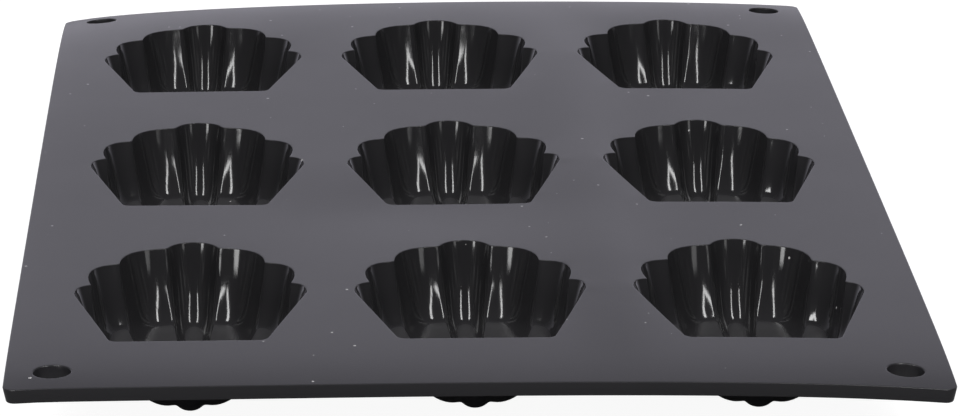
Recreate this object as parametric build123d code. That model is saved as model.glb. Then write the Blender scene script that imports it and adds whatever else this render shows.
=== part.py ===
from build123d import *
from math import cos, radians, sin, tan
import os

# Madeleine mould of flexible silicone: a flat sheet that carries nine scallop-shaped cups.
# X runs across the sheet, Y along it with the cups' wide ends at +Y, and Z up.
# The origin is under the middle of the sheet, on the surface that the cups stand on.

# Sheet
sheet_width = 175.0
sheet_length = 300.0
sheet_thickness = 2.7
sheet_corner_radius = 2.5
sheet_edge_draft_degrees = 12.0
sheet_top_edge_radius = 0.3
sheet_bottom_edge_radius = 0.6

# Corner holes
hole_radius = 3.5
hole_inset = 8.8

# Layout of the cups
column_names = ("left", "middle", "right")
row_names = ("front", "middle", "back")
column_pitch = 54.0
row_pitch = 93.5
layout_shift_to_back = 2.0

# Cup, measured inside and at the rim
cup_length = 65.7
cup_depth = 17.0
cup_wall = 1.3
collar_width = 2.2
fan_centre_to_front_edge = 57.7
fan_side_degrees = 14.1

# Flutes, from the middle one outwards. Each runs from an inner to an outer ridge, whose places are
# shares of the angle to the side edge and whose ends reach a share of the cup's length.
# A shoulder share of 1 makes a full round shoulder beside the outer ridge.
flute_end_shares = (0.187, 0.532, 0.816, 1.0)
flute_inner_reach_shares = (1.0, 0.942, 0.792, 0.592)
flute_outer_reach_shares = (0.942, 0.792, 0.592, 0.51)
flute_shoulder_shares = (1.0, 1.0, 1.0, 0.75)
flute_lean_degrees = 2.7

# Floor, which crowns up from the middle flute to its sides, more so at the wide end.
# A ridge rises a share of the crown, and the flutes beside the middle one dip before it.
floor_crown = 4.8
inner_ridge_shares = (0.0, 0.23, 0.7, 1.0)
outer_ridge_shares = (0.23, 0.7, 1.0, 1.0)
flute_dip = 0.5
flute_dip_shares = (0.0, 1.0, 1.0, 0.0)
back_rise_share = 1.35
foot_flat_depth = 0.3

# End walls. Each leaves the rim with a lean and meets the floor at a share of the cup's length.
# The fullness says how closely the wall keeps to the corner between them.
front_wall_lean = 5.0
front_wall_run_share = 0.34
front_wall_fullness_share = 2.0
back_wall_lean = 1.5
back_wall_run_share = 0.38
back_wall_fullness_share = 4.0

# Extra reach of every cutting solid, and how far above the rim the fluted forms begin
overrun = 5.0
form_margin = 0.2

rim_height = cup_depth + cup_wall - foot_flat_depth
form_top = rim_height + form_margin
form_depth = cup_depth + form_margin
last_flute = len(flute_end_shares) - 1


def mix(start, end, share):
    """Value that lies a share of the way from start to end."""
    return start + (end - start) * share


def fan_set_back(grow):
    """How far the fan's centre moves back when the side edges move out by grow."""
    return grow / sin(radians(fan_side_degrees))


def fan_point(fan_share, reach, height, grow):
    """Point in the cup's own frame, from its share of the side angle and its reach from the fan's centre."""
    angle = radians(fan_side_degrees * fan_share)
    fan_centre = -cup_length / 2 - fan_centre_to_front_edge - fan_set_back(grow)
    return (reach * sin(angle), fan_centre + reach * cos(angle), height)


def front_reach(fan_share, grow):
    """Reach of the straight front edge, moved out by grow."""
    edge_distance = fan_centre_to_front_edge + fan_set_back(grow) - grow
    return edge_distance / cos(radians(fan_side_degrees * fan_share))


def back_reach(reach_share, grow):
    """Reach of the scalloped back edge, moved out by grow."""
    return fan_centre_to_front_edge + reach_share * cup_length + fan_set_back(grow) + grow


def flute_start_share(flute):
    """Share of the side angle where a flute begins."""
    return flute_end_shares[flute - 1] if flute else 0


def control_line(side, fan_share, reach_share, rise, depth_share, grow):
    """Six control points along a flute: front rim, front wall, both ends of the floor, back wall, back rim."""
    front = front_reach(fan_share, grow)
    back = back_reach(reach_share, grow)
    front_floor = form_top - (form_depth + grow - rise) * depth_share
    back_floor = form_top - (form_depth + grow - rise * back_rise_share) * depth_share
    lean = tan(radians(flute_lean_degrees)) if fan_share else 0

    def at(reach, height):
        x, y, z = fan_point(fan_share, reach, height, grow)
        return (side * (x - lean * (form_top - z)), y, z)

    def on_floor(reach):
        return at(reach, mix(front_floor, back_floor, (reach - front) / (back - front)))

    return [
        at(front, form_top),
        on_floor(front + front_wall_lean),
        on_floor(mix(front, back, front_wall_run_share)),
        on_floor(mix(back, front, back_wall_run_share)),
        on_floor(back - back_wall_lean),
        at(back, form_top),
    ]


def flute_net(flute, side, grow):
    """Three control lines of a flute: on its inner ridge, at its shoulder and on its outer ridge."""
    start_share = flute_start_share(flute)
    end_share = flute_end_shares[flute]
    shoulder_share = mix(start_share, end_share, flute_shoulder_shares[flute])
    inner_reach = flute_inner_reach_shares[flute]
    inner_rise = floor_crown * inner_ridge_shares[flute]
    outer_rise = floor_crown * outer_ridge_shares[flute]
    dip = flute_dip * flute_dip_shares[flute]
    end_depth_share = 0 if flute == last_flute else 1
    return [
        control_line(side, start_share, inner_reach, inner_rise, 1, grow),
        control_line(side, shoulder_share, inner_reach, inner_rise - dip, 1, grow),
        control_line(side, end_share, flute_outer_reach_shares[flute], outer_rise, end_depth_share, grow),
    ]


def flute_faces(net):
    """Front wall, floor and back wall of a flute, from its net of control points."""
    front_weights = [[1, front_wall_fullness_share, 1] for line in net]
    back_weights = [[1, back_wall_fullness_share, 1] for line in net]
    return [
        Face.make_bezier_surface([line[:3] for line in net], front_weights),
        Face.make_bezier_surface([line[2:4] for line in net]),
        Face.make_bezier_surface([line[3:] for line in net], back_weights),
    ]


def fluted_form(grow):
    """Solid fan of flutes up to just above the rim, with every side moved out by grow."""
    faces = []
    lid_edges = []
    for side in (-1, 1):
        for flute in range(last_flute + 1):
            net = flute_net(flute, side, grow)
            faces += flute_faces(net)
            inner_line, shoulder_line, outer_line = net
            lid_edges.append(Line(inner_line[0], outer_line[0]))
            lid_edges.append(Bezier(inner_line[-1], shoulder_line[-1], outer_line[-1]))
        lid_edges.append(Line(outer_line[0], outer_line[2]))
        lid_edges.append(Line(outer_line[2], outer_line[3]))
        lid_edges.append(Line(outer_line[3], outer_line[-1]))
    lid = Face(Wire(lid_edges))
    return Solid(Shell([*faces, lid]))


def rim_outline(grow):
    """Closed outline of the cup's rim, moved out by grow: straight front and sides, scalloped back."""

    def rim_point(fan_share, reach):
        return fan_point(fan_share, reach, rim_height, grow)

    edges = []
    for side in (-1, 1):
        for flute in range(last_flute + 1):
            start = flute_start_share(flute)
            end = flute_end_shares[flute]
            inner = back_reach(flute_inner_reach_shares[flute], grow)
            outer = back_reach(flute_outer_reach_shares[flute], grow)
            corner = mix(start, end, flute_shoulder_shares[flute])
            first = rim_point(side * start, inner)
            last = rim_point(side * end, outer)
            edges += Bezier(first, rim_point(side * corner, inner), last).edges()
        front_corner = rim_point(side, front_reach(1, grow))
        front_middle = rim_point(0, front_reach(0, grow))
        edges += Polyline(last, front_corner, front_middle).edges()
    return Wire(edges)


def collar():
    """Solid of the sheet's thickness that fills its opening before the cup is hollowed."""
    return extrude(Face(rim_outline(collar_width)), amount=sheet_thickness, dir=(0, 0, -1))


def cup():
    """Fluted shell with its collar, in its own frame."""
    outer_form = fluted_form(cup_wall)
    skin_top = rim_height - sheet_thickness / 2
    skin = split(outer_form, Plane.XY.offset(skin_top), keep=Keep.BOTTOM)
    skin = split(skin, Plane.XY, keep=Keep.TOP)
    return skin + collar() - fluted_form(0)


def sheet_blank():
    """Plain sheet with drafted edges, upright corners rounded in plan and both faces' edges eased."""
    top = Plane.XY.offset(rim_height) * RectangleRounded(sheet_width, sheet_length, sheet_corner_radius)
    blank = extrude(top, amount=sheet_thickness, dir=(0, 0, -1), taper=sheet_edge_draft_degrees)
    faces = blank.faces().sort_by(Axis.Z)
    blank = fillet(faces[-1].edges(), sheet_top_edge_radius)
    return fillet(blank.faces().sort_by(Axis.Z)[0].edges(), sheet_bottom_edge_radius)


def cup_places():
    """Name and place of each cup."""
    places = {}
    for row, row_name in enumerate(row_names):
        for column, column_name in enumerate(column_names):
            x = (column - (len(column_names) - 1) / 2) * column_pitch
            y = (row - (len(row_names) - 1) / 2) * row_pitch + layout_shift_to_back
            places[f"cup_{row_name}_{column_name}"] = Pos(x, y, 0)
    return places


def sheet():
    """Sheet with an opening for each cup and a round hole in each corner."""
    body = sheet_blank()
    opening = extrude(Face(rim_outline(collar_width)), amount=sheet_thickness + overrun, dir=(0, 0, -1))
    opening = opening + Pos(0, 0, overrun) * opening
    for place in cup_places().values():
        body = body - place * opening
    hole = Pos(0, 0, rim_height) * Cylinder(hole_radius, 2 * (sheet_thickness + overrun))
    for across in (-1, 1):
        for along in (-1, 1):
            x = across * (sheet_width / 2 - hole_inset)
            y = along * (sheet_length / 2 - hole_inset)
            body = body - Pos(x, y, 0) * hole
    return body


os.makedirs("parts", exist_ok=True)
one_cup = cup()
for name, place in cup_places().items():
    export_step(place * one_cup, f"parts/{name}.step")
export_step(sheet(), "parts/sheet.step")
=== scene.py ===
# %% [markdown]
# A madeleine mould of flexible silicone: one thin dark sheet, nine scallop-shaped cups that hang from
# it and a round hole in each corner. The real thing is a single moulding, so what makes it look right
# is the shape of the cups, the soft bends of the sheet and the two finishes that the steel tool leaves:
# satin on the sheet, and polished inside the cups. This file builds those surfaces around the packed
# model, piece by piece, in metres.

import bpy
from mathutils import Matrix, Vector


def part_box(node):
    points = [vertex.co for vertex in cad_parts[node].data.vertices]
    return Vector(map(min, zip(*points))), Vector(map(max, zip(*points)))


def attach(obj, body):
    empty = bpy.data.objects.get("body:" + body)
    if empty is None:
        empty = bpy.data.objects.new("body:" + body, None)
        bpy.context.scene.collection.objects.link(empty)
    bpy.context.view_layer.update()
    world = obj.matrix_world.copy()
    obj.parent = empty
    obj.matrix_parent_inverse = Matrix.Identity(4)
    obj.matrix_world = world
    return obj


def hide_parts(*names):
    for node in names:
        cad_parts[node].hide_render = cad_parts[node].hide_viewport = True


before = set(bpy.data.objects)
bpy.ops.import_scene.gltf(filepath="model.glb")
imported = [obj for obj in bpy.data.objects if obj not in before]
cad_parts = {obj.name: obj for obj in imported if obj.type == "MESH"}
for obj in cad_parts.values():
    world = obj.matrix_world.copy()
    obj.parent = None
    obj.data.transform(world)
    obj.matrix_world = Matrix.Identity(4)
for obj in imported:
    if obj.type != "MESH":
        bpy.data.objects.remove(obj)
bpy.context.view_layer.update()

import math

import bpy
import numpy as np
from mathutils import Matrix, Vector
from mathutils.geometry import delaunay_2d_cdt

MM = 0.001
print("nodes:", sorted(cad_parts))

# %% [markdown]
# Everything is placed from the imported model: the top of the sheet's box is the height of the rims, and
# the middle of each cup's box is the middle of that cup. Written numbers would do the same, but they
# would stay behind when the model changes. Only the sheet's own sizes are written out.

# %% Measure the sheet and the cups' places
RIM_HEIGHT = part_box("sheet")[1].z
SHEET_THICKNESS = 2.9 * MM
SHEET_WIDTH = 175 * MM
SHEET_LENGTH = 300 * MM
CUP_NODES = sorted(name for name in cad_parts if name.startswith("cup_"))


def middle_of(node):
    """Middle of a node's box, seen from above."""
    low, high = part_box(node)
    return np.array([(low.x + high.x) / 2, (low.y + high.y) / 2])


CUP_PLACES = {node: middle_of(node) for node in CUP_NODES}
print(f"rim at {RIM_HEIGHT / MM:.1f} mm, sheet {SHEET_THICKNESS / MM:.2f} mm thick, {len(CUP_NODES)} cups")

# %% [markdown]
# Soft silicone never lies quite flat. Here the margins droop past the cups, the far left corner and the
# near right corner most. The middles of the near and far edges arch up a little, a low fold runs
# lengthwise between the second and third columns, and a shallow dimple lies in front of the middle cup.
#
# A cloth simulation could find bends like these, but it is hard to steer towards the ones that are
# wanted. So each bend is a height and the distance over which it dies away, two slight tilts lean the
# whole sheet, and one function adds them up. Every vertex of every piece is lifted by it, so the pieces
# stay joined. The standing lift raises the mould until its lowest flute just rests on the floor.

# %% Bends of the sheet
MARGIN_DROOPS = {"left": (-0.44 * MM, 4.0 * MM), "right": (-1.45 * MM, 25.6 * MM),
                 "near": (-0.92 * MM, 10.8 * MM), "far": (-1.15 * MM, 11.7 * MM)}
CORNER_DROOPS = {("left", "far"): -3.7 * MM, ("right", "far"): -0.2 * MM,
                 ("left", "near"): -0.1 * MM, ("right", "near"): -1.05 * MM}
CORNER_REACH_ACROSS = 32 * MM
CORNER_REACH_ALONG = 38.4 * MM
FOLD_PLACE = 27.0 * MM
FOLD_HEIGHT = 1.0 * MM
FOLD_SPREAD = 5.0 * MM
FOLD_END_REACH = 30 * MM
EDGE_ARCHES = {"near": (0.28 * MM, 10 * MM), "far": (0.45 * MM, 5 * MM)}
ARCH_SPREAD = 42 * MM
ARCH_REACH = 12 * MM
DIMPLE_PLACE = (-6 * MM, -34 * MM)
DIMPLE_HEIGHT = -0.4 * MM
DIMPLE_SPREAD = (24 * MM, 15 * MM)
TILT_ACROSS = -0.32 * MM
TILT_ALONG = -0.19 * MM
STANDING_LIFT = 1.1 * MM


def bend(x, y):
    """How far the soft sheet lifts the point above or below its flat shape."""
    gaps = {"left": SHEET_WIDTH / 2 + x, "right": SHEET_WIDTH / 2 - x,
            "near": SHEET_LENGTH / 2 + y, "far": SHEET_LENGTH / 2 - y}
    lift = STANDING_LIFT + TILT_ACROSS * 2 * x / SHEET_WIDTH + TILT_ALONG * 2 * y / SHEET_LENGTH
    for margin, (height, reach) in MARGIN_DROOPS.items():
        lift = lift + height * np.exp(-gaps[margin] / reach)
    for (across, along), height in CORNER_DROOPS.items():
        fade = np.exp(-gaps[across] / CORNER_REACH_ACROSS - gaps[along] / CORNER_REACH_ALONG)
        lift = lift + height * fade
    for margin, (height, place) in EDGE_ARCHES.items():
        lift = lift + height * np.exp(-gaps[margin] / ARCH_REACH - ((x - place) / ARCH_SPREAD) ** 2 / 2)
    off_x = (x - DIMPLE_PLACE[0]) / DIMPLE_SPREAD[0]
    off_y = (y - DIMPLE_PLACE[1]) / DIMPLE_SPREAD[1]
    lift = lift + DIMPLE_HEIGHT * np.exp(-(off_x**2 + off_y**2) / 2)
    along_fold = 1 - np.exp(-((np.minimum(gaps["near"], gaps["far"]) / FOLD_END_REACH) ** 2) / 2)
    return lift + FOLD_HEIGHT * along_fold * np.exp(-(((x - FOLD_PLACE) / FOLD_SPREAD) ** 2) / 2)


def settled(points):
    """Copy of the points, lifted to where the soft sheet carries them."""
    points = np.array(points, float)
    points[:, 2] += bend(points[:, 0], points[:, 1])
    return points


lifts = [bend(*place) / MM for place in CUP_PLACES.values()]
print(f"the cups are lifted by {min(lifts):.2f} to {max(lifts):.2f} mm")

# %% [markdown]
# A cup is a fan. Straight lines from one centre cut it into flutes, and each flute is a smooth patch
# pulled between three control lines: one on its inner ridge, one at its shoulder and one on its outer
# ridge. A control line has six points: the two rims, the two corners that the end walls are drawn
# towards, and the two ends of the floor. Sculpting could give such a shell too, but here a few sizes
# describe all of it, and each of them can be set by itself.
#
# The lists below run from the middle flute outwards. The ends are shares of the angle to the side edge
# and the reaches are shares of the cup's length. A shoulder share says how far across its flute the
# middle control line lies: at a half the flute is an even arch, and at 1 or more it is nearly flat up to
# a tight outer shoulder. It has one value at the rim, one low on the back wall and one on the floor. The
# leans say how far the back wall's foot lies in from the rim, on the ridges and at the shoulders.

# %% Sizes of the cup
CUP_LENGTH = 66.6 * MM
CUP_FRONT = -32.85 * MM
CUP_DEPTH = 17.0 * MM
CUP_WALL = 1.3 * MM
FAN_CENTRE_TO_FRONT = 57.7 * MM
FAN_SIDE_ANGLE = math.radians(14.2)
FLUTE_ENDS = (0.172, 0.525, 0.812, 1.0)
INNER_REACHES = (0.99, 0.928, 0.782, 0.585)
OUTER_REACHES = (0.93, 0.782, 0.585, 0.504)
RIM_SHOULDERS = (0.7, 0.9, 1.05, 0.75)
WALL_SHOULDERS = (1.1, 0.68, 0.9, 0.75)
FLOOR_SHOULDERS = (0.75, 0.45, 0.5, 0.75)
FRONT_FLUTE_LEAN = math.tan(math.radians(2))
BACK_FLUTE_LEAN = math.tan(math.radians(5.5))
RIDGE_RISES = (0.0, 1.55 * MM, 3.7 * MM, 4.9 * MM, 4.9 * MM)
FLUTE_DIPS = (0.0, 1.1 * MM, 0.6 * MM, 0.0)
BACK_RISE = 1.35
FRONT_LEAN = 5.0 * MM
FRONT_RUN = 0.40
FRONT_FULLNESS = 2.0
BACK_LEAN = 2.6 * MM
RIDGE_LEANS = (0.0, 1.0 * MM, 1.5 * MM, 1.5 * MM, 1.5 * MM)
SHOULDER_LEANS = (0.0, -2.8 * MM, 0.0, 0.0)
BACK_RUN = 0.3
BACK_FULLNESS = 3.0
LAST_FLUTE = len(FLUTE_ENDS) - 1


def mix(start, end, share):
    """Value that lies a share of the way from start to end."""
    return start + (end - start) * share


def control_line(side, shares, reach_share, rise, back_lean, depth_share, grow, top, depth):
    """Six control points along a flute, for a skin that lies grow outside the cup's inner surface."""
    rim_share, wall_share, floor_share = shares
    set_back = grow / math.sin(FAN_SIDE_ANGLE)
    front = (FAN_CENTRE_TO_FRONT + set_back - grow) / math.cos(FAN_SIDE_ANGLE * rim_share)
    back = FAN_CENTRE_TO_FRONT + reach_share * CUP_LENGTH + set_back + grow
    front_floor = top - (depth - rise) * depth_share
    back_floor = top - (depth - rise * BACK_RISE) * depth_share

    def at(share, reach, height, lean):
        angle = FAN_SIDE_ANGLE * share
        x = reach * math.sin(angle) - lean * (top - height) * (share > 0)
        y = reach * math.cos(angle) + CUP_FRONT - FAN_CENTRE_TO_FRONT - set_back
        return (side * x, y, height)

    def on_floor(share, reach, lean):
        return at(share, reach, mix(front_floor, back_floor, (reach - front) / (back - front)), lean)

    return [at(rim_share, front, top, 0),
            on_floor(floor_share, front + FRONT_LEAN, FRONT_FLUTE_LEAN),
            on_floor(floor_share, mix(front, back, FRONT_RUN), FRONT_FLUTE_LEAN),
            on_floor(floor_share, mix(back, front, BACK_RUN), BACK_FLUTE_LEAN),
            on_floor(wall_share, back - back_lean, BACK_FLUTE_LEAN),
            at(rim_share, back, top, 0)]


def flute_net(flute, side, grow, top, depth):
    """The three control lines of a flute, as an array of 3 lines by 6 points."""
    start = FLUTE_ENDS[flute - 1] if flute else 0
    end = FLUTE_ENDS[flute]
    shoulder_shares = (RIM_SHOULDERS, WALL_SHOULDERS, FLOOR_SHOULDERS)
    shoulders = [mix(start, end, shares[flute]) for shares in shoulder_shares]
    start_rise, end_rise = RIDGE_RISES[flute], RIDGE_RISES[flute + 1]
    start_lean, end_lean = BACK_LEAN + RIDGE_LEANS[flute], BACK_LEAN + RIDGE_LEANS[flute + 1]
    shoulder_rise = start_rise - FLUTE_DIPS[flute]
    shoulder_lean = BACK_LEAN + SHOULDER_LEANS[flute]
    end_depth = 0 if flute == LAST_FLUTE else 1
    reach = INNER_REACHES[flute]
    skin = (grow, top, depth)
    return np.array([
        control_line(side, [start] * 3, reach, start_rise, start_lean, 1, *skin),
        control_line(side, shoulders, reach, shoulder_rise, shoulder_lean, 1, *skin),
        control_line(side, [end] * 3, OUTER_REACHES[flute], end_rise, end_lean, end_depth, *skin),
    ])


flute_count = 2 * LAST_FLUTE + 1
print(f"a cup is {CUP_LENGTH / MM:.1f} mm long and {CUP_DEPTH / MM:.0f} mm deep, with {flute_count} flutes")

# %% [markdown]
# The patches become a grid of points. Columns run from the left side edge to the right one, crowded
# towards the ridges where the surface turns fastest, and each column is walked from the front rim over
# the floor to the back rim in equal steps, so that all the quads have much the same size. Blender's own
# NURBS surfaces could fill the patches, but in a grid made here every point has a known place, and the
# sheet is joined on by those places.

# %% From flutes to a grid of points
STEPS_PER_FLUTE = 12
ROWS = 64
FINE_STEPS = 60


def conic(points, fullness):
    """Points along a curve that starts and ends on the outer two and is pulled towards the middle one."""
    t = np.linspace(0, 1, FINE_STEPS)[:, None]
    weights = [(1 - t) ** 2, 2 * t * (1 - t) * fullness, t**2]
    return sum(w * p for w, p in zip(weights, points)) / sum(weights)


def column_of(line):
    """Points of one column, evenly spaced along the curve that the six control points describe."""
    curve = np.concatenate([conic(line[:3], FRONT_FULLNESS), conic(line[3:], BACK_FULLNESS)])
    along = np.concatenate([[0], np.cumsum(np.linalg.norm(np.diff(curve, axis=0), axis=1))])
    wanted = np.linspace(0, along[-1], ROWS)
    return np.stack([np.interp(wanted, along, curve[:, axis]) for axis in range(3)], axis=1)


def cup_grid(grow, top, depth):
    """Grid of points over the cup's inner surface, or over a skin that lies grow outside it."""
    steps = (1 - np.cos(np.linspace(0, np.pi, STEPS_PER_FLUTE + 1))) / 2
    columns = []
    for side in (-1, 1):
        half = []
        for flute in range(LAST_FLUTE + 1):
            net = flute_net(flute, side, grow, top, depth)
            for step in steps[0 if flute == 0 else 1:]:
                blend = ((1 - step) ** 2, 2 * step * (1 - step), step**2)
                half.append(column_of(np.tensordot(blend, net, axes=1)))
        columns = half[:0:-1] if side < 0 else columns + half
    return np.array(columns)


bare_grid = cup_grid(0, 0, CUP_DEPTH)
print("grid of", bare_grid.shape[0], "columns by", bare_grid.shape[1], "rows")

# %% [markdown]
# A steel tool has no knife edges, so neither have the ridges between the flutes. A bevel modifier gives
# an edge one width along its length, but these ridges fade away towards the straight front rim. So each
# row of the grid is averaged with a bell curve, whose width is set in millimetres and grows with the
# depth. Where a row is straight the average changes nothing, so only the ridges soften. Towards the two
# side edges the bell narrows to nothing, which keeps the rim where it is.

# %% Round the ridges
RIM_SOFTNESS = 0.35 * MM
RIDGE_SOFTNESS = 1.1 * MM
OUTER_SOFTNESS = 0.5 * MM


def soften(grid, rim_softness, deep_softness):
    """Copy of the grid with the ridges between its columns rounded over, more so where it is deep."""
    soft = grid.copy()
    for row in range(grid.shape[1]):
        points = grid[:, row]
        gaps = np.linalg.norm(np.diff(points, axis=0), axis=1)
        along = np.concatenate([[0], np.cumsum(gaps)])
        width = (np.concatenate([gaps, [0]]) + np.concatenate([[0], gaps])) / 2
        depth_share = np.clip((grid[0, 0, 2] - points[:, 2].min()) / (CUP_DEPTH / 2), 0, 1)
        softness = mix(rim_softness, deep_softness, depth_share)
        spread = np.minimum(softness, np.minimum(along, along[-1] - along) / 3) + MM / 1000
        weight = np.exp(-(((along[None] - along[:, None]) / spread[:, None]) ** 2) / 2) * width[None]
        soft[:, row] = weight @ points / weight.sum(axis=1, keepdims=True)
    soft[0], soft[-1] = grid[0], grid[-1]
    return soft


inner_grid = soften(bare_grid, RIM_SOFTNESS, RIDGE_SOFTNESS)
outer_top = -SHEET_THICKNESS
bare_outer_grid = cup_grid(CUP_WALL, outer_top, CUP_DEPTH + CUP_WALL + outer_top)
outer_grid = soften(bare_outer_grid, OUTER_SOFTNESS, OUTER_SOFTNESS)
print(f"ridges moved by up to {np.abs(inner_grid - bare_grid).max() / MM:.2f} mm")

# %% [markdown]
# The rim is where the cup meets the sheet. A loop of points goes once round the grid's edge, and
# moving it outwards in small steps along a quarter circle makes the rounded lip. One more flat ring
# follows, so that the light runs from the lip onto the sheet with no crease. A bevel could round the
# lip as well, but its points come late: the sheet needs the last ring's points before it is built.

# %% The rim and its rounded lip
LIP_RADIUS = 0.12 * MM
LIP_STEPS = 4
FLAT_RING = 0.25 * MM
FRONT_CORNER_RADIUS = 1.4 * MM


def edge_loop(shape):
    """Places in the grid that go once round its edge, counterclockwise from above."""
    last_column, last_row = shape[0] - 1, shape[1] - 1
    loop = [(column, 0) for column in range(last_column + 1)]
    loop += [(last_column, row) for row in range(1, last_row + 1)]
    loop += [(column, last_row) for column in range(last_column - 1, -1, -1)]
    return loop + [(0, row) for row in range(last_row - 1, 0, -1)]


LOOP = edge_loop(inner_grid.shape)


def pushed_out(points, distance, height):
    """The loop moved outwards in plan by a distance, at a height."""
    plan = points[:, :2]
    along = np.roll(plan, -1, axis=0) - np.roll(plan, 1, axis=0)
    outward = np.stack([along[:, 1], -along[:, 0]], axis=1)
    outward /= np.linalg.norm(outward, axis=1, keepdims=True)
    moved = plan + outward * distance
    return np.column_stack([moved, np.full(len(plan), height)])


def lip_rings(points):
    """Rings that carry the cup's wall over its rounded lip and out onto the flat of the sheet."""
    rings = []
    for step in range(1, LIP_STEPS + 1):
        angle = math.pi / 2 * step / LIP_STEPS
        distance, drop = LIP_RADIUS * (1 - math.cos(angle)), LIP_RADIUS * (1 - math.sin(angle))
        rings.append(pushed_out(points, distance, -drop))
    rings.append(pushed_out(points, LIP_RADIUS + FLAT_RING, 0))
    return rings


def round_corners(grid, radius):
    """Rounds the grid's two front corners in plan, by bending a square's corner into a quarter circle."""
    rounded = grid.copy()
    for column in (0, -1):
        corner = grid[column, 0, :2]
        along_side = grid[column, ROWS // 2, :2] - corner
        along_front = grid[grid.shape[0] // 2, 0, :2] - corner
        axes = np.stack([side / np.linalg.norm(side) for side in (along_side, along_front)], axis=1)
        places = (grid[:, :, :2] - corner) @ np.linalg.inv(axes).T
        short = np.clip(radius - places, 0, None)
        moved = short * (1 - np.sqrt(1 - short[..., ::-1] ** 2 / (2 * radius**2)))
        rounded[:, :, :2] += moved @ axes.T
    return rounded


inner_grid = round_corners(inner_grid, FRONT_CORNER_RADIUS)
outer_grid = round_corners(outer_grid, FRONT_CORNER_RADIUS + CUP_WALL)
rim_points = np.array([inner_grid[place] for place in LOOP])
rings = lip_rings(rim_points)
top_ring = rings[-1]
foot_ring = np.array([outer_grid[place] for place in LOOP])
print(f"the rim has {len(LOOP)} points")

# %% [markdown]
# Now the cup can be closed into one shell: the inner surface, the lip, the wall through the thickness of
# the sheet and the outer skin. A solidify modifier could thicken the inner surface, but it folds over
# itself at tight ridges, so the outer skin has a grid of its own. The faces are written down once as
# places in a list of points, and the same list serves all nine cups, which differ only in where they
# stand and how the sheet bends there. Each cup also carries an attribute that says where a point lies on
# its flute, for the tool marks.

# %% Build the nine cups
INSIDE, OUTSIDE = 0, 1


def shell_faces(shape):
    """Faces of a cup, and the finish of each: inner grid, rings of the lip, outer grid."""
    columns, rows = shape[:2]
    count = columns * rows
    ring_length = len(LOOP)
    outer_start = count + ring_length * len(rings)

    def at(column, row):
        return column * rows + row

    faces, finish = [], []
    for column in range(columns - 1):
        for row in range(rows - 1):
            quad = [at(column, row), at(column + 1, row), at(column + 1, row + 1), at(column, row + 1)]
            faces.append(quad)
            finish.append(INSIDE)
            faces.append([outer_start + place for place in reversed(quad)])
            finish.append(OUTSIDE)
    loops = [[at(*place) for place in LOOP]]
    for ring in range(len(rings)):
        start = count + ring * ring_length
        loops.append(list(range(start, start + ring_length)))
    loops.append([outer_start + place for place in loops[0]])
    for first, second in zip(loops, loops[1:]):
        for here in range(ring_length):
            there = (here + 1) % ring_length
            faces.append([first[there], first[here], second[here], second[there]])
            finish.append(OUTSIDE)
    return faces, finish


def flute_places(grid, total):
    """For each point of a cup, how far it lies across the flutes at the rim and along its own flute."""
    across = np.concatenate([[0], np.cumsum(np.linalg.norm(np.diff(grid[:, -1], axis=0), axis=1))])
    along = np.cumsum(np.linalg.norm(np.diff(grid, axis=1, prepend=grid[:, :1]), axis=2), axis=1)
    places = np.zeros((total, 3))
    places[: along.size, 0] = np.repeat(across, grid.shape[1])
    places[: along.size, 1] = along.ravel()
    return places


def make_piece(name, points, faces, finish, node):
    """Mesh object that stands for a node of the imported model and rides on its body."""
    mesh = bpy.data.meshes.new(name)
    mesh.from_pydata([tuple(p) for p in points], [], faces)
    mesh.polygons.foreach_set("material_index", np.array(finish, np.int32))
    mesh.polygons.foreach_set("use_smooth", np.ones(len(faces), bool))
    mesh.update()
    piece = bpy.data.objects.new(name, mesh)
    bpy.context.scene.collection.objects.link(piece)
    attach(piece, "root")
    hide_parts(node)
    return piece


cup_faces, cup_finish = shell_faces(inner_grid.shape)
lipped = inner_grid.copy()
for place in LOOP:
    lipped[place][2] -= LIP_RADIUS
cup_points = np.concatenate([lipped.reshape(-1, 3), *rings, outer_grid.reshape(-1, 3)])
places_on_cup = flute_places(inner_grid, len(cup_points))
cups = []
for node, place in CUP_PLACES.items():
    points = cup_points + np.array([place[0], place[1], RIM_HEIGHT])
    cup = make_piece(f"{node}_shell", settled(points), cup_faces, cup_finish, node)
    attribute = cup.data.attributes.new("place_on_flute", "FLOAT_VECTOR", "POINT")
    attribute.data.foreach_set("vector", places_on_cup.ravel())
    cups.append(cup)
print(f"{len(cups)} cups of {len(cup_faces)} faces each")

# %% [markdown]
# The sheet's edge is not square: it leans in towards the underside, so that the sheet leaves the tool,
# and both of its corners are eased. A bevel would ease the corners of an upright edge, but not make it
# lean. So the section is worked out as two arcs joined by the leaning side, and every point of the
# outline carries that section outwards.

# %% The sheet's outline and the section of its edge
OUTLINE_RADIUS = 2.5 * MM
TOP_EASE = 0.15 * MM
BOTTOM_EASE = 0.35 * MM
EDGE_DRAFT = math.radians(12)
EDGE_STEPS = 5
OUTLINE_STEP = 4 * MM
CORNER_STEPS = 8
HOLE_RADIUS = 3.5 * MM
HOLE_INSET = 8.8 * MM
HOLE_POINTS = 48
HOLE_EASE = 0.25 * MM


def arc(centre, radius, start, end, steps):
    """Points of an arc, with angles in radians."""
    angles = np.linspace(start, end, steps + 1)
    return [(centre[0] + radius * math.cos(a), centre[1] + radius * math.sin(a)) for a in angles]


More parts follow.
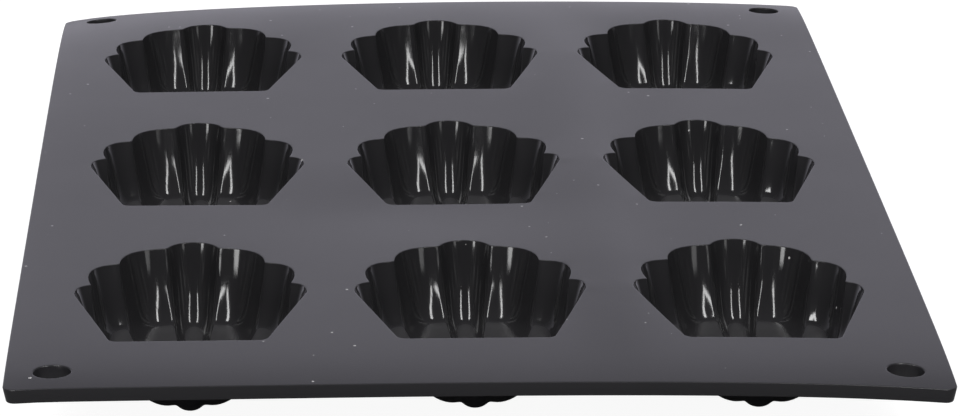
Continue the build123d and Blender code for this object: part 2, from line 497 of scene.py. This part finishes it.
def edge_section():
    """Section of the sheet's edge: distance out from the outline, and height from the top face."""
    top_run = TOP_EASE * math.tan((math.pi / 2 + EDGE_DRAFT) / 2)
    bottom_run = BOTTOM_EASE * math.tan((math.pi / 2 - EDGE_DRAFT) / 2)
    bottom_corner = -SHEET_THICKNESS * math.tan(EDGE_DRAFT)
    top = arc((-top_run, -TOP_EASE), TOP_EASE, math.pi / 2, -EDGE_DRAFT, EDGE_STEPS)
    low_centre = (bottom_corner - bottom_run, BOTTOM_EASE - SHEET_THICKNESS)
    return top + arc(low_centre, BOTTOM_EASE, -EDGE_DRAFT, -math.pi / 2, EDGE_STEPS)


def sheet_outline():
    """Points of the sheet's outline and the outward direction at each, counterclockwise."""
    half = np.array([SHEET_WIDTH, SHEET_LENGTH]) / 2 - OUTLINE_RADIUS
    corners = [(half[0], -half[1], -math.pi / 2), (half[0], half[1], 0.0),
               (-half[0], half[1], math.pi / 2), (-half[0], -half[1], math.pi)]
    points, outward = [], []
    for x, y, start in corners:
        for angle in np.linspace(start, start + math.pi / 2, CORNER_STEPS + 1):
            direction = np.array([math.cos(angle), math.sin(angle)])
            points.append(np.array([x, y]) + OUTLINE_RADIUS * direction)
            outward.append(direction)
    filled, directions = [], []
    for here, (point, direction) in enumerate(zip(points, outward)):
        after = points[(here + 1) % len(points)]
        pieces = max(1, round(np.linalg.norm(after - point) / OUTLINE_STEP))
        for piece in range(pieces):
            filled.append(mix(point, after, piece / pieces))
            directions.append(direction)
    return np.array(filled), np.array(directions)


SECTION = edge_section()
outline, outline_out = sheet_outline()
print(f"outline of {len(outline)} points, section of {len(SECTION)}")

# %% [markdown]
# The two faces of the sheet are flat regions with many holes in them. Booleans could cut the holes, but
# they leave long thin faces that shade badly once the sheet bends. A constrained triangulation fills
# such a region and keeps every loop as given. A loose grid of extra points inside it lets the sheet bend
# smoothly, and a band of points beside each loop keeps the shading of the rounded edges off the flat.

# %% Build the sheet
GRID_STEP = 5 * MM
HOLDING_BAND = 0.3 * MM


def hole_places():
    """Middle of each corner hole."""
    across = SHEET_WIDTH / 2 - HOLE_INSET
    along = SHEET_LENGTH / 2 - HOLE_INSET
    return [np.array([side * across, end * along]) for side in (-1, 1) for end in (-1, 1)]


def circle(middle, radius):
    """Points of a circle round a hole, counterclockwise."""
    angles = np.linspace(0, 2 * math.pi, HOLE_POINTS, endpoint=False)
    return middle + radius * np.column_stack([np.cos(angles), np.sin(angles)])


def inside(points, loop):
    """For each point, whether it lies inside the loop."""
    x, y = points[:, 0, None], points[:, 1, None]
    x0, y0 = loop[:, 0], loop[:, 1]
    x1, y1 = np.roll(x0, -1), np.roll(y0, -1)
    crosses = ((y0 > y) != (y1 > y)) & (x < (x1 - x0) * (y - y0) / np.where(y1 == y0, 1, y1 - y0) + x0)
    return crosses.sum(axis=1) % 2 == 1


def filled_face(outer, holes, bands):
    """Points and triangles of the flat region between an outer loop and its holes."""
    loops = [outer, *holes, *bands]
    points = [p for loop in loops for p in loop]
    edges, start = [], 0
    for loop in loops:
        count = len(loop)
        edges += [(start + i, start + (i + 1) % count) for i in range(count)]
        start += count
    xs = np.arange(-SHEET_WIDTH / 2 + GRID_STEP, SHEET_WIDTH / 2, GRID_STEP)
    ys = np.arange(-SHEET_LENGTH / 2 + GRID_STEP, SHEET_LENGTH / 2, GRID_STEP)
    grid = np.array([(x, y) for x in xs for y in ys])
    keep = inside(grid, outer)
    for hole in [*holes, *bands[1:]]:
        keep &= ~inside(grid, hole)
    points += list(grid[keep])
    verts, _, faces, sources, _, _ = delaunay_2d_cdt([Vector(p) for p in points], edges, [], 0, 1e-8)
    verts = np.array([tuple(v) for v in verts])
    faces = np.array([list(f) for f in faces])
    middles = verts[faces].mean(axis=1)
    keep = inside(middles, outer)
    for hole in holes:
        keep &= ~inside(middles, hole)
    order = {source: number for number, found in enumerate(sources) for source in found}
    return verts, faces[keep], order


class Builder:
    """Gathers points and faces of one mesh."""

    def __init__(self):
        self.points, self.faces = [], []

    def add(self, points):
        start = len(self.points)
        self.points += [tuple(p) for p in points]
        return list(range(start, len(self.points)))

    def join(self, first, second):
        """Band of quads between two closed loops of the same length."""
        for here in range(len(first)):
            there = (here + 1) % len(first)
            self.faces.append([first[here], first[there], second[there], second[here]])


def at_height(plan, height):
    """Plan points at a height."""
    return np.column_stack([plan, np.full(len(plan), height)])


def add_face(build, outer, holes, bands, height, up):
    """Adds a flat face of the sheet and returns the built places of its outer loop and its holes."""
    verts, faces, order = filled_face(outer, holes, bands)
    ids = build.add(at_height(verts, height))
    for face in faces:
        build.faces.append([ids[v] for v in (face if up else face[::-1])])
    found, start = [], 0
    for loop in [outer, *holes]:
        found.append([ids[order[start + i]] for i in range(len(loop))])
        start += len(loop)
    return found


def build_sheet():
    """The whole sheet as one closed mesh."""
    build = Builder()
    top, bottom = RIM_HEIGHT, RIM_HEIGHT - SHEET_THICKNESS
    places = hole_places()
    top_cups = [top_ring[:, :2] + place for place in CUP_PLACES.values()]
    low_cups = [foot_ring[:, :2] + place for place in CUP_PLACES.values()]
    holes = [circle(place, HOLE_RADIUS + HOLE_EASE) for place in places]
    top_loop = outline + outline_out * SECTION[0][0]
    low_loop = outline + outline_out * SECTION[-1][0]
    top_bands = [outline + outline_out * (SECTION[0][0] - HOLDING_BAND)]
    low_bands = [outline + outline_out * (SECTION[-1][0] - HOLDING_BAND)]
    hole_bands = [circle(place, HOLE_RADIUS + HOLE_EASE + HOLDING_BAND) for place in places]
    top_found = add_face(build, top_loop, top_cups + holes, top_bands + hole_bands, top, True)
    low_found = add_face(build, low_loop, low_cups + holes, low_bands + hole_bands, bottom, False)
    previous = top_found[0]
    for distance, height in SECTION[1:-1]:
        loop = build.add(at_height(outline + outline_out * distance, top + height))
        build.join(loop, previous)
        previous = loop
    build.join(low_found[0], previous)
    for number in range(len(CUP_PLACES)):
        build.join(top_found[1 + number], low_found[1 + number])
    for number, place in enumerate(places):
        previous = top_found[1 + len(CUP_PLACES) + number]
        ease = arc((HOLE_RADIUS + HOLE_EASE, -HOLE_EASE), HOLE_EASE, math.pi / 2, math.pi, EDGE_STEPS)
        mirrored = [(radius, -SHEET_THICKNESS - height) for radius, height in reversed(ease)]
        for radius, height in ease[1:] + mirrored[:-1]:
            loop = build.add(at_height(circle(place, radius), top + height))
            build.join(previous, loop)
            previous = loop
        build.join(previous, low_found[1 + len(CUP_PLACES) + number])
    return build


build = build_sheet()
sheet_finish = [0] * len(build.faces)
sheet = make_piece("sheet_web", settled(build.points), build.faces, sheet_finish, "sheet")
print(f"sheet of {len(build.faces)} faces")

# %% [markdown]
# Creases sharper than a limit stay sharp, and everything else is shaded smooth. The limit can be wide,
# because the eased edges are in the mesh and aren't left to the shading.

# %% Shade the pieces
CREASE_ANGLE = math.radians(50)

for piece in [sheet, *cups]:
    piece.data.set_sharp_from_angle(angle=CREASE_ANGLE)
print("shaded", 1 + len(cups), "pieces")

# %% [markdown]
# Silicone for ovens is dark right through, so the finishes have nearly one colour. What differs is the
# tool's surface. Spark-eroded steel leaves a fine even grain on the sheet, which spreads every
# reflection into a satin sheen, and polished steel leaves the cups almost mirror-smooth. Where the cups
# face up, mostly on their floors, their colour is a little greyer and their gloss duller than on the
# walls. The grain, the dust and the tool marks are node groups with named inputs, so that each finish
# can set its own amounts.

# %% Node group helpers
SATIN_COLOUR = (0.0165, 0.0161, 0.018, 1)
POLISHED_COLOUR = (0.0145, 0.0142, 0.0152, 1)
CUP_FLOOR_COLOUR = (0.042, 0.041, 0.044, 1)
DUST_COLOUR = (0.45, 0.44, 0.44, 1)
SILICONE_IOR = 1.42
PATCH_LIGHTENING = 1.25
FLOOR_STARTS, FLOOR_FULL = 0.86, 0.98


def new_group(name, inputs, outputs):
    """Empty shader node group with named sockets, its input node and its output node."""
    group = bpy.data.node_groups.new(name, "ShaderNodeTree")
    for label, kind, value in inputs:
        socket = group.interface.new_socket(label, in_out="INPUT", socket_type=kind)
        socket.default_value = value
    for label, kind in outputs:
        group.interface.new_socket(label, in_out="OUTPUT", socket_type=kind)
    return group, group.nodes.new("NodeGroupInput"), group.nodes.new("NodeGroupOutput")


def add_node(tree, kind, label, **settings):
    """Node with a label and its settings; keys that name a socket set that socket."""
    node = tree.nodes.new(kind)
    node.label = label
    for key, value in settings.items():
        if hasattr(node, key):
            setattr(node, key, value)
        else:
            node.inputs[key.replace("_", " ")].default_value = value
    return node


print("helpers ready")

# %% [markdown]
# The grain is noise at two sizes: fine pits a fraction of a millimetre across, and slow patches
# where handling has polished or greyed the surface. Both come from object coordinates, so they stay
# fixed to the silicone when the view turns.

# %% Grain group
FLOAT = "NodeSocketFloat"
grain, grain_in, grain_out = new_group(
    "silicone_grain",
    [("Pit size", FLOAT, 0.25 * MM), ("Patch size", FLOAT, 40 * MM)],
    [("Pits", FLOAT), ("Patches", FLOAT)],
)
place = add_node(grain, "ShaderNodeTexCoord", "place on the silicone")
for label, source, detail in (("Pits", "Pit size", 3), ("Patches", "Patch size", 4)):
    per_metre = add_node(grain, "ShaderNodeMath", f"{label} per metre", operation="DIVIDE")
    per_metre.inputs[0].default_value = 1
    grain.links.new(grain_in.outputs[source], per_metre.inputs[1])
    noise = add_node(grain, "ShaderNodeTexNoise", label, Detail=detail)
    grain.links.new(place.outputs["Object"], noise.inputs["Vector"])
    grain.links.new(per_metre.outputs[0], noise.inputs["Scale"])
    grain.links.new(noise.outputs["Fac"], grain_out.inputs[label])
print("grain group with outputs", [s.name for s in grain_out.inputs if s.name])

# %% [markdown]
# Dust clings to silicone. A cell pattern gives one random point per cell, and only a cell whose random
# colour passes a limit holds a speck, of a size that the same colour sets. What shows is a sparse
# scatter of pale specks, never a regular one.

# %% Dust group
dust, dust_in, dust_out = new_group(
    "clinging_dust",
    [("Cell size", FLOAT, 4 * MM), ("Share of cells", FLOAT, 0.5), ("Speck size", FLOAT, 0.08)],
    [("Dust", FLOAT)],
)
place = add_node(dust, "ShaderNodeTexCoord", "place on the silicone")
per_metre = add_node(dust, "ShaderNodeMath", "cells per metre", operation="DIVIDE")
per_metre.inputs[0].default_value = 1
cells = add_node(dust, "ShaderNodeTexVoronoi", "one point per cell")
parts = add_node(dust, "ShaderNodeSeparateColor", "random values of the cell")
chosen = add_node(dust, "ShaderNodeMath", "cell holds a speck", operation="LESS_THAN")
size = add_node(dust, "ShaderNodeMath", "size of the speck", operation="MULTIPLY")
near = add_node(dust, "ShaderNodeMath", "inside the speck", operation="LESS_THAN")
both = add_node(dust, "ShaderNodeMath", "speck", operation="MULTIPLY")
dust.links.new(dust_in.outputs["Cell size"], per_metre.inputs[1])
dust.links.new(place.outputs["Object"], cells.inputs["Vector"])
dust.links.new(per_metre.outputs[0], cells.inputs["Scale"])
dust.links.new(cells.outputs["Color"], parts.inputs["Color"])
dust.links.new(parts.outputs["Red"], chosen.inputs[0])
dust.links.new(dust_in.outputs["Share of cells"], chosen.inputs[1])
dust.links.new(parts.outputs["Green"], size.inputs[0])
dust.links.new(dust_in.outputs["Speck size"], size.inputs[1])
dust.links.new(cells.outputs["Distance"], near.inputs[0])
dust.links.new(size.outputs[0], near.inputs[1])
dust.links.new(chosen.outputs[0], both.inputs[0])
dust.links.new(near.outputs[0], both.inputs[1])
dust.links.new(both.outputs[0], dust_out.inputs["Dust"])
print("dust group ready")

# %% [markdown]
# The steel tool was milled and polished along the flutes, and a trace of that stays in the silicone.
# Noise that is stretched along the flutes breaks up the edges of the long reflections. It needs to know
# where a point lies on its flute, which the cups carry as an attribute.

# %% Tool mark group
marks, marks_in, marks_out = new_group(
    "tool_marks",
    [("Mark width", FLOAT, 0.35 * MM), ("Mark length", FLOAT, 14 * MM)],
    [("Marks", FLOAT)],
)
on_flute = add_node(marks, "ShaderNodeAttribute", "place on the flute", attribute_name="place_on_flute")
split = marks.nodes.new("ShaderNodeSeparateXYZ")
joined = marks.nodes.new("ShaderNodeCombineXYZ")
streaks = add_node(marks, "ShaderNodeTexNoise", "stretched noise", Scale=1.0, Detail=2)
marks.links.new(on_flute.outputs["Vector"], split.inputs[0])
for number, label in enumerate(("Mark width", "Mark length")):
    share = add_node(marks, "ShaderNodeMath", f"over the {label.lower()}", operation="DIVIDE")
    marks.links.new(split.outputs[number], share.inputs[0])
    marks.links.new(marks_in.outputs[label], share.inputs[1])
    marks.links.new(share.outputs[0], joined.inputs[number])
marks.links.new(joined.outputs[0], streaks.inputs["Vector"])
marks.links.new(streaks.outputs["Fac"], marks_out.inputs["Marks"])
print("tool mark group ready")

# %% [markdown]
# Each finish is one Principled shader. The grain's patches move its roughness and its colour a little,
# the tool marks and the pits go through a bump each, and the dust swaps in a pale colour where a speck
# lies. How far the surface faces up decides how much of the floor's greyer, duller look it gets.

# %% The two silicone finishes


def silicone(name, colour, roughness, swing, pit_size, pit_depth, speck_share, floor_share, mark_depth):
    """Silicone of a colour and gloss, with grain, dust and tool marks, and a share of the floors' look."""
    material = bpy.data.materials.new(name)
    material.use_nodes = True
    tree = material.node_tree
    links = tree.links
    shader = tree.nodes["Principled BSDF"]
    shader.inputs["IOR"].default_value = SILICONE_IOR
    grain_node = add_node(tree, "ShaderNodeGroup", "grain", node_tree=grain)
    grain_node.inputs["Pit size"].default_value = pit_size
    dust_node = add_node(tree, "ShaderNodeGroup", "dust", node_tree=dust)
    dust_node.inputs["Share of cells"].default_value = speck_share
    marks_node = add_node(tree, "ShaderNodeGroup", "tool marks", node_tree=marks)

    facing = tree.nodes.new("ShaderNodeNewGeometry")
    facing_parts = tree.nodes.new("ShaderNodeSeparateXYZ")
    upward = add_node(tree, "ShaderNodeMapRange", "where it faces up", interpolation_type="SMOOTHSTEP")
    upward.inputs["From Min"].default_value = FLOOR_STARTS
    upward.inputs["From Max"].default_value = FLOOR_FULL
    upward.inputs["To Max"].default_value = floor_share
    links.new(facing.outputs["Normal"], facing_parts.inputs[0])
    links.new(facing_parts.outputs["Z"], upward.inputs["Value"])

    gloss = add_node(tree, "ShaderNodeMapRange", "gloss with patches")
    gloss.inputs["To Min"].default_value = roughness - swing
    gloss.inputs["To Max"].default_value = roughness + swing
    duller = add_node(tree, "ShaderNodeMath", "duller floor", operation="ADD")
    links.new(grain_node.outputs["Patches"], gloss.inputs["Value"])
    links.new(gloss.outputs["Result"], duller.inputs[0])
    links.new(upward.outputs["Result"], duller.inputs[1])
    links.new(duller.outputs[0], shader.inputs["Roughness"])

    patched = add_node(tree, "ShaderNodeMix", "colour with patches", data_type="RGBA")
    patched.inputs[6].default_value = colour
    patched.inputs[7].default_value = tuple(PATCH_LIGHTENING * c for c in colour[:3]) + (1,)
    floored = add_node(tree, "ShaderNodeMix", "greyer floor", data_type="RGBA")
    floored.inputs[7].default_value = CUP_FLOOR_COLOUR
    dusty = add_node(tree, "ShaderNodeMix", "colour with dust", data_type="RGBA")
    dusty.inputs[7].default_value = DUST_COLOUR
    links.new(grain_node.outputs["Patches"], patched.inputs["Factor"])
    links.new(patched.outputs[2], floored.inputs[6])
    links.new(upward.outputs["Result"], floored.inputs["Factor"])
    links.new(floored.outputs[2], dusty.inputs[6])
    links.new(dust_node.outputs["Dust"], dusty.inputs["Factor"])
    links.new(dusty.outputs[2], shader.inputs["Base Color"])

    furrows = add_node(tree, "ShaderNodeBump", "tool marks", Strength=1.0)
    furrows.inputs["Distance"].default_value = mark_depth
    pits = add_node(tree, "ShaderNodeBump", "pits", Strength=1.0)
    pits.inputs["Distance"].default_value = pit_depth
    links.new(marks_node.outputs["Marks"], furrows.inputs["Height"])
    links.new(grain_node.outputs["Pits"], pits.inputs["Height"])
    links.new(furrows.outputs["Normal"], pits.inputs["Normal"])
    links.new(pits.outputs["Normal"], shader.inputs["Normal"])
    return material


satin = silicone(
    "satin_silicone", SATIN_COLOUR, roughness=0.32, swing=0.04, pit_size=0.30 * MM, pit_depth=0.02 * MM,
    speck_share=0.4, floor_share=0, mark_depth=0,
)
gloss = silicone(
    "gloss_silicone", POLISHED_COLOUR, roughness=0.10, swing=0.03, pit_size=0.8 * MM, pit_depth=0.002 * MM,
    speck_share=0.15, floor_share=0.4, mark_depth=0.003 * MM,
)
sheet.data.materials.append(satin)
for cup in cups:
    cup.data.materials.append(gloss)
    cup.data.materials.append(satin)
print("finishes:", satin.name, "and", gloss.name)

# %% [markdown]
# The camera repeats the photograph's viewpoint: a long lens about a metre away, looking about 16 degrees
# down onto the sheet from a touch to the left.

# %% Camera
LENS = 190.5
SENSOR = 36
CAMERA_DISTANCE = 1039 * MM
CAMERA_PITCH = math.radians(15.83)
CAMERA_YAW = math.radians(2.22)
CAMERA_ROLL = math.radians(-0.17)
LOOK_AT = Vector((4.2 * MM, -33.8 * MM, RIM_HEIGHT + STANDING_LIFT - 0.41 * MM))

forward = Vector((math.sin(CAMERA_YAW) * math.cos(CAMERA_PITCH),
                  math.cos(CAMERA_YAW) * math.cos(CAMERA_PITCH), -math.sin(CAMERA_PITCH)))
level_right = Vector((math.cos(CAMERA_YAW), -math.sin(CAMERA_YAW), 0))
level_up = level_right.cross(forward)
right = math.cos(CAMERA_ROLL) * level_right + math.sin(CAMERA_ROLL) * level_up
up = -math.sin(CAMERA_ROLL) * level_right + math.cos(CAMERA_ROLL) * level_up
camera_data = bpy.data.cameras.new("camera")
camera_data.lens = LENS
camera_data.sensor_width = SENSOR
camera_data.clip_start = 0.01
camera = bpy.data.objects.new("camera", camera_data)
camera.matrix_world = Matrix((right, up, -forward)).transposed().to_4x4()
camera.location = LOOK_AT - forward * CAMERA_DISTANCE
bpy.context.scene.collection.objects.link(camera)
bpy.context.scene.camera = camera
print("camera at", [round(c, 3) for c in camera.location])

# %% [markdown]
# The mould stands on a plain pale floor. A pale backdrop behind it, brightest at the horizon, gives the
# satin sheet its even sheen, and the room in front is dark, which keeps the cups' back walls and the near
# edge dark. Two long strips overhead, left and right of the camera, draw the pairs of thin bright streaks
# low in the polished flutes. Two low windows to the sides, the left one brighter, draw the short ones
# near the rims. An image of a room could light the mould too, but with lamps it stays plain which one
# draws which streak.

# %% Floor, sky and lights
FLOOR_SIZE = 6.0
FLOOR_COLOUR = (0.2, 0.2, 0.2, 1)
FLOOR_WHITE = 0.93
FLOOR_ROUGHNESS = 0.9
SKY_COLOUR = (0.90, 0.88, 1.0, 1)
SKY_BEHIND = 1.57
SKY_FADE = 3.7
SKY_IN_FRONT = 0.04
BACKDROP_STARTS, BACKDROP_FULL = 0.1, 0.7
STRIP_LOW_END = (0.68, -1.6, 0.43)
STRIP_HIGH_END = (0.36, 0.05, 1.2)
STRIP_WIDTH = 0.11
STRIP_WATTS = 12
WINDOW_PLACE = (1.07, -1.19)
WINDOW_HEIGHTS = (0.02, 0.23)
WINDOW_WIDTH = 0.30
WINDOW_WATTS = {"left": 2.2, "right": 0.5}


def pale_floor():
    """Floor that looks white to the camera where the light is full, and still takes the shadow."""
    mesh = bpy.data.meshes.new("floor")
    half = FLOOR_SIZE / 2
    corners = [(-half, -half, 0), (half, -half, 0), (half, half, 0), (-half, half, 0)]
    mesh.from_pydata(corners, [], [(0, 1, 2, 3)])
    floor = bpy.data.objects.new("floor", mesh)
    bpy.context.scene.collection.objects.link(floor)
    material = bpy.data.materials.new("pale_floor")
    material.use_nodes = True
    tree = material.node_tree
    shader = tree.nodes["Principled BSDF"]
    shader.inputs["Base Color"].default_value = FLOOR_COLOUR
    shader.inputs["Roughness"].default_value = FLOOR_ROUGHNESS
    shader.inputs["Emission Color"].default_value = (1, 1, 1, 1)
    path = tree.nodes.new("ShaderNodeLightPath")
    share = add_node(tree, "ShaderNodeMath", "white to the camera", operation="MULTIPLY")
    share.inputs[1].default_value = FLOOR_WHITE
    tree.links.new(path.outputs["Is Camera Ray"], share.inputs[0])
    tree.links.new(share.outputs[0], shader.inputs["Emission Strength"])
    mesh.materials.append(material)
    return floor


def pale_sky():
    """Sky that is pale behind the mould and dark in front of it, and white to the camera."""
    world = bpy.data.worlds.new("sky")
    world.use_nodes = True
    tree = world.node_tree
    background = tree.nodes["Background"]
    direction = tree.nodes.new("ShaderNodeTexCoord")
    parts = tree.nodes.new("ShaderNodeSeparateXYZ")
    path = tree.nodes.new("ShaderNodeLightPath")
    behind = add_node(tree, "ShaderNodeMapRange", "share of the backdrop", interpolation_type="SMOOTHSTEP")
    behind.inputs["From Min"].default_value = BACKDROP_STARTS
    behind.inputs["From Max"].default_value = BACKDROP_FULL
    height = add_node(tree, "ShaderNodeMath", "height above the horizon", operation="MAXIMUM")
    height.inputs[1].default_value = 0
    fall = add_node(tree, "ShaderNodeMath", "darker higher up", operation="MULTIPLY")
    fall.inputs[1].default_value = -SKY_FADE
    fade = add_node(tree, "ShaderNodeMath", "fade", operation="EXPONENT")
    backdrop = add_node(tree, "ShaderNodeMath", "backdrop", operation="MULTIPLY")
    scaled = add_node(tree, "ShaderNodeMath", "backdrop over the dark room", operation="MULTIPLY_ADD")
    scaled.inputs[1].default_value = SKY_BEHIND
    scaled.inputs[2].default_value = SKY_IN_FRONT
    strength = add_node(tree, "ShaderNodeMix", "white to the camera", data_type="FLOAT")
    strength.inputs[3].default_value = 1
    colour = add_node(tree, "ShaderNodeMix", "no tint to the camera", data_type="RGBA")
    colour.inputs[6].default_value = SKY_COLOUR
    colour.inputs[7].default_value = (1, 1, 1, 1)
    tree.links.new(direction.outputs["Generated"], parts.inputs[0])
    tree.links.new(parts.outputs["Y"], behind.inputs["Value"])
    tree.links.new(parts.outputs["Z"], height.inputs[0])
    tree.links.new(height.outputs[0], fall.inputs[0])
    tree.links.new(fall.outputs[0], fade.inputs[0])
    tree.links.new(behind.outputs["Result"], backdrop.inputs[0])
    tree.links.new(fade.outputs[0], backdrop.inputs[1])
    tree.links.new(backdrop.outputs[0], scaled.inputs[0])
    tree.links.new(scaled.outputs[0], strength.inputs[2])
    tree.links.new(path.outputs["Is Camera Ray"], strength.inputs[0])
    tree.links.new(path.outputs["Is Camera Ray"], colour.inputs[0])
    tree.links.new(strength.outputs[0], background.inputs["Strength"])
    tree.links.new(colour.outputs[2], background.inputs["Color"])
    bpy.context.scene.world = world


def strip_light(name, low_end, high_end, width, watts):
    """Long thin area lamp between two points, with its face to the mould."""
    low_end, high_end = Vector(low_end), Vector(high_end)
    data = bpy.data.lights.new(name, "AREA")
    data.shape = "RECTANGLE"
    data.size, data.size_y = width, (high_end - low_end).length
    data.energy = watts
    lamp = bpy.data.objects.new(name, data)
    middle = (low_end + high_end) / 2
    along = (high_end - low_end).normalized()
    away = (middle - along * middle.dot(along)).normalized()
    across = along.cross(away)
    lamp.matrix_world = Matrix((across, along, away)).transposed().to_4x4()
    lamp.location = middle
    bpy.context.scene.collection.objects.link(lamp)
    return lamp


floor = pale_floor()
pale_sky()
for side, name in ((-1, "left"), (1, "right")):
    strip_ends = [(side * x, y, z) for x, y, z in (STRIP_LOW_END, STRIP_HIGH_END)]
    window_ends = [(side * WINDOW_PLACE[0], WINDOW_PLACE[1], height) for height in WINDOW_HEIGHTS]
    strip_light(f"{name}_strip", *strip_ends, STRIP_WIDTH, STRIP_WATTS)
    strip_light(f"{name}_window", *window_ends, WINDOW_WIDTH, WINDOW_WATTS[name])
bpy.context.scene.view_settings.view_transform = "Standard"
print("floor, sky, two strips and two windows")
